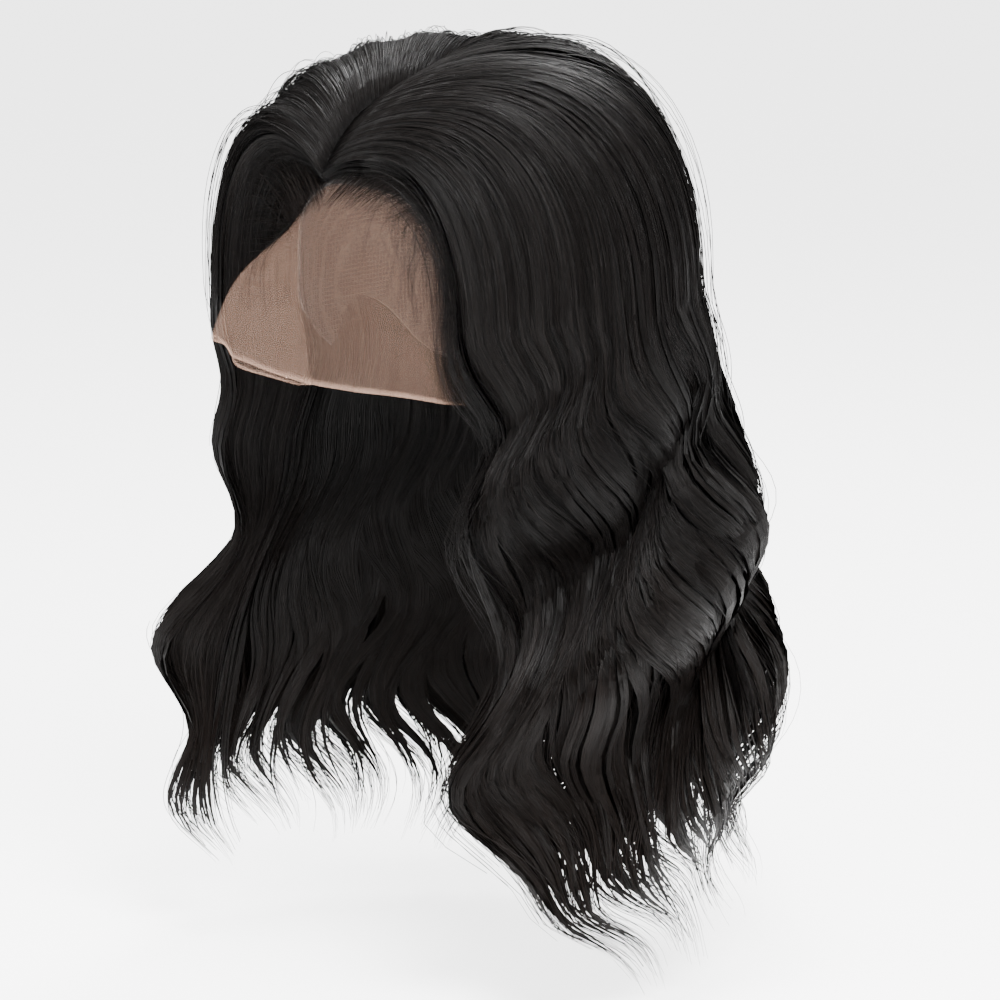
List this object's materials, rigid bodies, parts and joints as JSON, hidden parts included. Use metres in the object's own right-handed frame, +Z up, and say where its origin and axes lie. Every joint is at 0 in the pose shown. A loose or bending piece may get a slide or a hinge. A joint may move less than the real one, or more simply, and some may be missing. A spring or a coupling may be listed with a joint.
{
  "type": "lace front wig",
  "caption": "Long body-wave wig of thick hair locks on an open net cap, parted off centre, with a sheer lace panel hanging from its hairline.",
  "frame": {"origin": "the top of the wearer's head, on the inside of the cap", "axes": "+Z up, the wearer faces -Y, and the wearer's left is +X"},
  "size_m": [0.3247, 0.27, 0.4922],
  "materials": {
    "hair": "glossy black human hair",
    "cap_net": "matt black net",
    "lace": "sheer beige net"
  },
  "bodies": {
    "root": {"wig_cap": "cap_net", "lace_front": "lace", "right_front_lock": "hair", "right_cheek_lock": "hair", "right_ear_lock": "hair", "right_side_lock": "hair", "right_shoulder_lock": "hair", "right_rear_lock": "hair", "right_back_lock": "hair", "right_spine_lock": "hair", "left_spine_lock": "hair", "left_back_lock": "hair", "left_rear_lock": "hair", "left_shoulder_lock": "hair", "left_side_lock": "hair", "left_ear_lock": "hair", "left_cheek_lock": "hair", "left_front_lock": "hair"}
  },
  "joints": []
}
